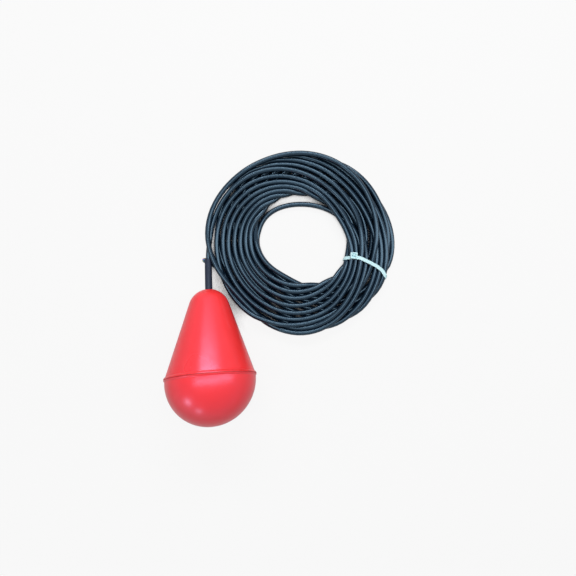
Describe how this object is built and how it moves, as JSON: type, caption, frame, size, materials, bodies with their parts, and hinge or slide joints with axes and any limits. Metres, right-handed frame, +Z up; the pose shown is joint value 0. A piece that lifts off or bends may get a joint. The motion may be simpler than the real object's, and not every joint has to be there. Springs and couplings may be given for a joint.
{
  "type": "cable float switch",
  "caption": "Pear-shaped level float on a coiled, tied cable; a rolling ball inside works a snap switch.",
  "frame": {"origin": "on the floor under the middle of the box of the float and its sleeve, without the loose cable", "axes": "+Y from the round end to the narrow end along the floor, +Z up; the float's own axis lies over +Y and falls towards the narrow end"},
  "size_m": [0.3287, 0.3604, 0.1143],
  "materials": {
    "float_red": "glossy moulded polypropylene",
    "seam_dark": "dark weld line",
    "sleeve_rubber": "satin black sleeve",
    "cable_jacket": "satin blue-black PVC jacket",
    "gland_rubber": "soft black rubber",
    "nut_plastic": "black nylon",
    "steel_plated": "zinc plated",
    "steel_polished": "polished bearing steel",
    "brass_plain": "plain brass",
    "copper_bare": "bare stranded copper",
    "carrier_ivory": "ivory moulded plastic",
    "switch_black": "black phenolic",
    "plunger_white": "white acetal",
    "core_blue": "blue core insulation",
    "core_brown": "brown core insulation",
    "core_green": "green and yellow core insulation",
    "tie_nylon": "natural translucent nylon"
  },
  "bodies": {
    "float": {"upper_shell": "float_red", "lower_shell": "float_red", "seam_ring": "seam_dark", "gland_bush": "gland_rubber", "gland_washer": "steel_plated", "gland_nut": "nut_plastic", "cable_stop_ring": "brass_plain", "switch_carrier": "carrier_ivory", "tube_cap": "carrier_ivory", "carrier_screws": "steel_plated", "switch_base": "switch_black", "switch_cover": "switch_black", "lever_pin": "steel_plated", "terminal_common": "brass_plain", "terminal_open": "brass_plain", "terminal_closed": "brass_plain", "switch_screws": "steel_plated", "switch_nuts": "steel_plated", "crimp_receptacles": "brass_plain", "core_blue": "core_blue", "core_brown": "core_brown", "core_green": "core_green", "strain_relief_sleeve": "sleeve_rubber", "inner_cable": "cable_jacket", "cable_coil": "cable_jacket", "cable_lead": "cable_jacket", "cable_tail": "cable_jacket", "tail_core_blue": "core_blue", "tail_core_brown": "core_brown", "tail_core_green": "core_green", "tail_strands": "copper_bare", "cable_tie": "tie_nylon"},
    "ball": {"steel_ball": "steel_polished"},
    "lever": {"switch_lever": "steel_plated"},
    "plunger": {"switch_plunger": "plunger_white"},
    "blade": {"contact_blade": "brass_plain"}
  },
  "joints": [
    {"name": "ball_roll", "type": "slide", "parent": "float", "child": "ball", "axis": [0, -0.951, 0.3091], "range_m": [0, 0.024]},
    {"name": "lever_press", "type": "hinge", "parent": "float", "child": "lever", "pos_m": [-0.02, -0.04525, 0.05486], "axis": [0, -0.3091, -0.951], "range_deg": [0, 8]},
    {"name": "plunger_press", "type": "slide", "parent": "float", "child": "plunger", "axis": [0, -0.951, 0.3091], "range_m": [0, 0.00118]},
    {"name": "blade_snap", "type": "hinge", "parent": "float", "child": "blade", "pos_m": [-0.0016, -0.05452, 0.05788], "axis": [0, 0.3091, 0.951], "range_deg": [0, 7.3]}
  ],
  "couplings": [
    {"joint": "lever_press", "follows": "ball_roll", "rad_per_m": 5.8178},
    {"joint": "plunger_press", "follows": "ball_roll", "ratio": 0.049189},
    {"joint": "blade_snap", "follows": "ball_roll", "rad_per_m": 5.3087}
  ]
}
